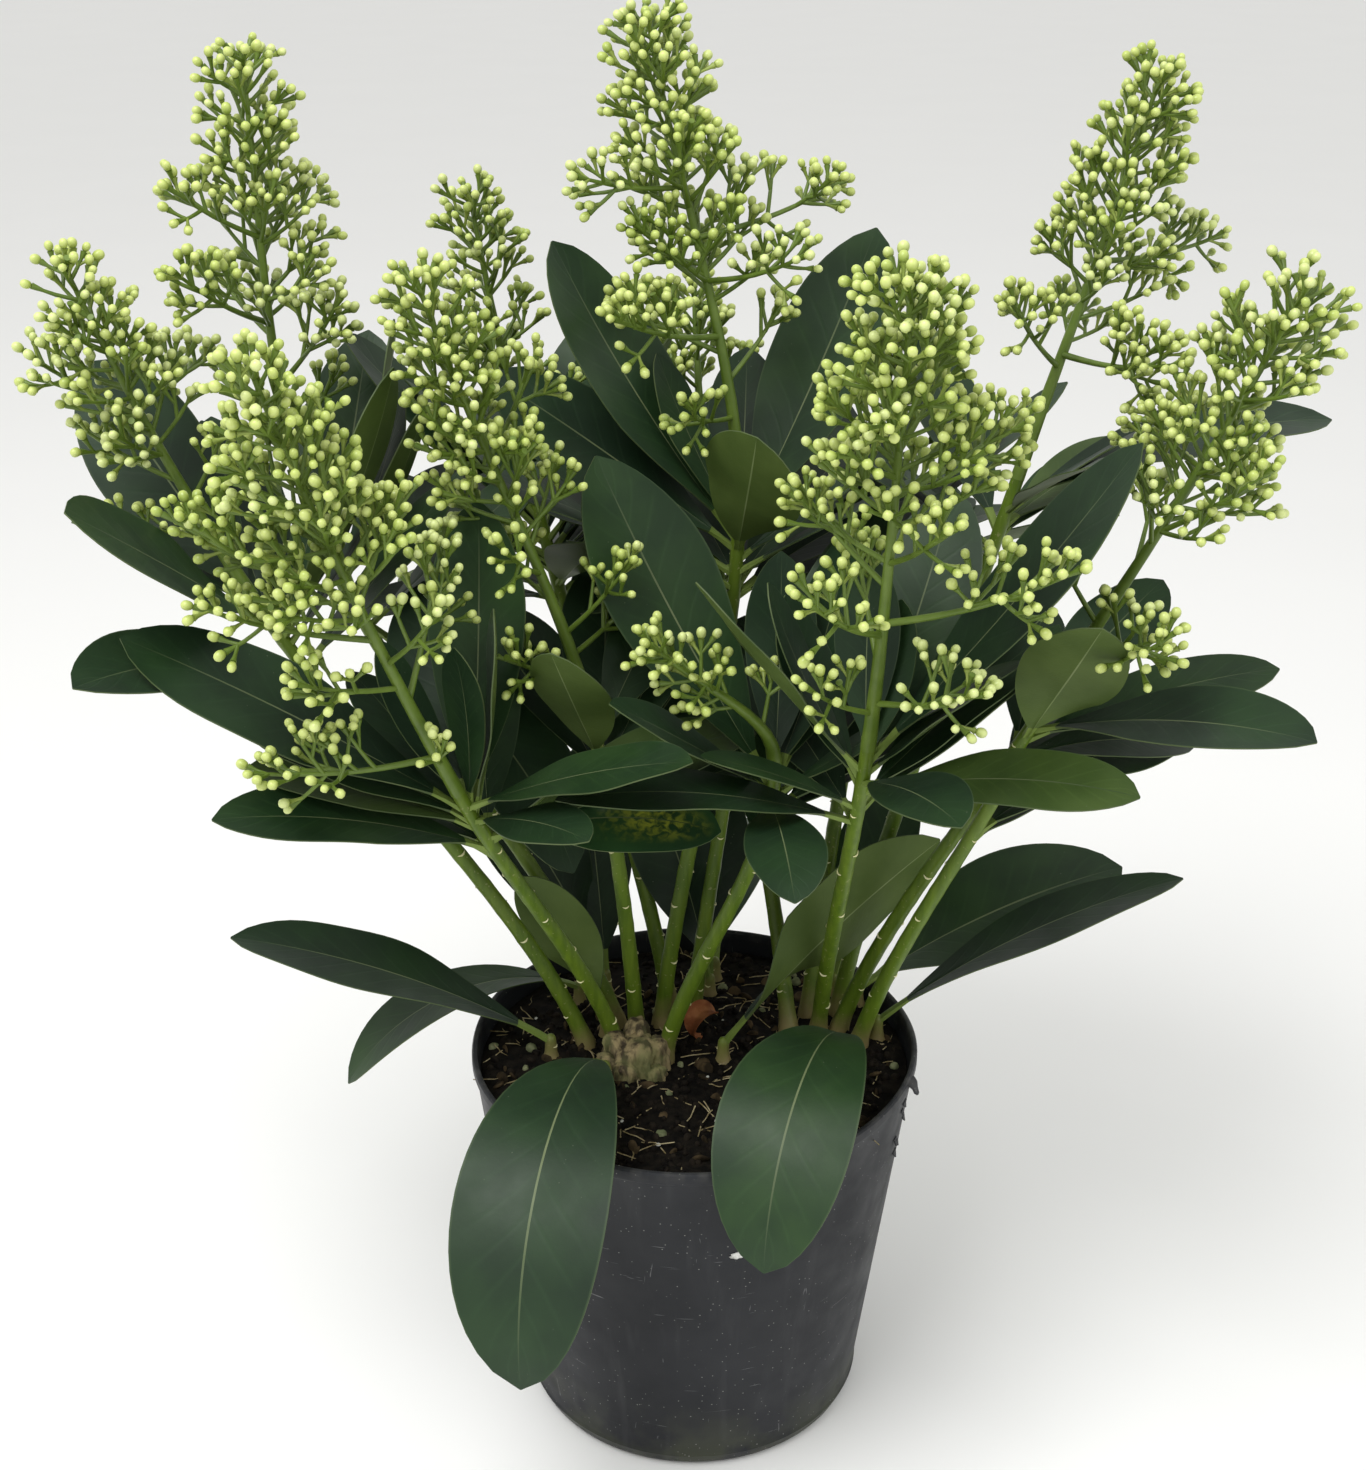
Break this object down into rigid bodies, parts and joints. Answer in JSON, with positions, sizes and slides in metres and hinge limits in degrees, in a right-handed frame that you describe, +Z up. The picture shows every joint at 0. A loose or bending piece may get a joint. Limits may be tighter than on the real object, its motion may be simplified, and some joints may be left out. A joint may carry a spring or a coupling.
{
  "type": "potted skimmia shrub",
  "caption": "Potted evergreen skimmia: upright green stems from a filled nursery pot, whorls of glossy leaves, and open cone-shaped panicles of round pale green buds.",
  "frame": {"origin": "centre of the pot's flat underside", "axes": "+Z up the plant; -Y is the side the picture shows, +X to its right"},
  "size_m": [0.3991, 0.288, 0.4569],
  "materials": {
    "pot_plastic": "charcoal plastic, dusty and lightly scratched",
    "compost": "damp dark peat",
    "bark": "tan, rough",
    "stem": "smooth green, pale leaf scars",
    "leaf": "leathery, glossy dark green",
    "blossom": "smooth pale green buds on green stalks"
  },
  "bodies": {
    "root": {"blossom_back_centre": "blossom", "blossom_back_left": "blossom", "blossom_back_right": "blossom", "blossom_far_left": "blossom", "blossom_far_right": "blossom", "blossom_front_left": "blossom", "blossom_front_mid": "blossom", "blossom_front_right": "blossom", "blossom_mid_left": "blossom", "blossom_rear_left": "blossom", "blossom_rear_mid": "blossom", "blossom_rear_right": "blossom", "compost": "compost", "leaves_back_centre": "leaf", "leaves_back_left": "leaf", "leaves_back_right": "leaf", "leaves_centre": "leaf", "leaves_far_left": "leaf", "leaves_far_right": "leaf", "leaves_front_left": "leaf", "leaves_front_mid": "leaf", "leaves_front_right": "leaf", "leaves_low_right": "leaf", "leaves_mid_left": "leaf", "leaves_rear_left": "leaf", "leaves_rear_mid": "leaf", "leaves_rear_right": "leaf", "low_leaf_back": "leaf", "low_leaf_front_left": "leaf", "low_leaf_front_right": "leaf", "low_leaf_left": "leaf", "low_leaf_middle": "leaf", "low_leaf_olive": "leaf", "low_leaf_rear_left": "leaf", "low_leaf_rear_right": "leaf", "low_leaf_right": "leaf", "low_leaf_tall_left": "leaf", "low_leaf_tall_middle": "leaf", "low_leaf_tall_right": "leaf", "pot": "pot_plastic", "stem_back_centre": "stem", "stem_back_left": "stem", "stem_back_right": "stem", "stem_centre": "stem", "stem_far_left": "stem", "stem_far_right": "stem", "stem_front_left": "stem", "stem_front_mid": "stem", "stem_front_right": "stem", "stem_low_right": "stem", "stem_mid_left": "stem", "stem_rear_left": "stem", "stem_rear_mid": "stem", "stem_rear_right": "stem", "stump": "bark"}
  },
  "joints": []
}
